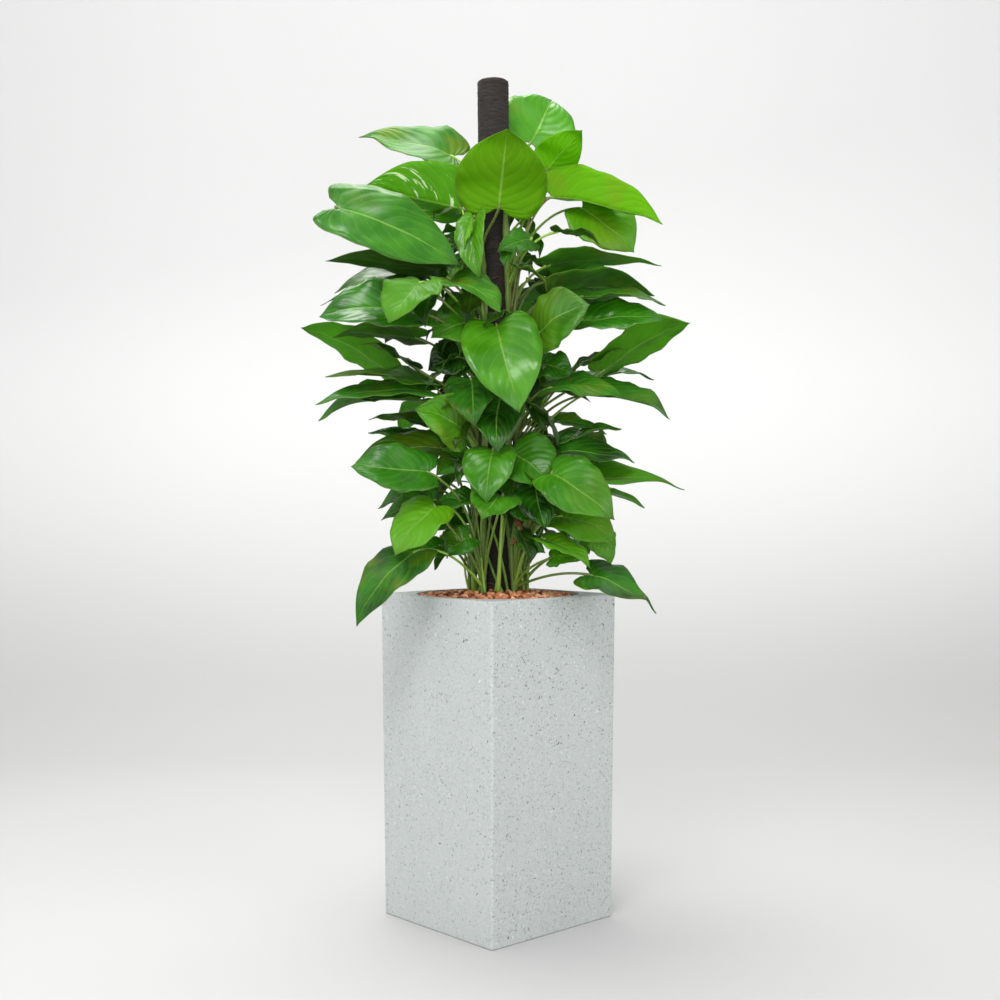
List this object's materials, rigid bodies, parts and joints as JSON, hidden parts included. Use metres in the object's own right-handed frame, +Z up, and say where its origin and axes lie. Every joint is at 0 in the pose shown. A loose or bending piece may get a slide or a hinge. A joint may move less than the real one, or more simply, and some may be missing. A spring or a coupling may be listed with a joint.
{
  "type": "potted golden pothos",
  "caption": "Tall climbing pothos with large heart-shaped leaves on a dark moss pole, in a tall square pale stone planter topped with clay pebbles.",
  "frame": {"origin": "middle of the planter's underside, on the floor", "axes": "+Z up; X and Y along the planter's sides; the plant's front looks between +X and -Y, 47.6 degrees from -Y towards +X"},
  "size_m": [0.5817, 0.6216, 1.5665],
  "materials": {
    "pot": "matte, finely speckled",
    "soil": "matte",
    "clay_pebbles": "matte",
    "moss_pole": "matte, fibrous",
    "leaf": "satin"
  },
  "bodies": {
    "root": {"pot": "pot", "soil": "soil", "clay_pebbles": "clay_pebbles", "moss_pole": "moss_pole", "vine_front_left": "leaf", "vine_left": "leaf", "vine_front_right": "leaf", "vine_right": "leaf", "vine_back_right": "leaf", "vine_back_left": "leaf"}
  },
  "joints": []
}
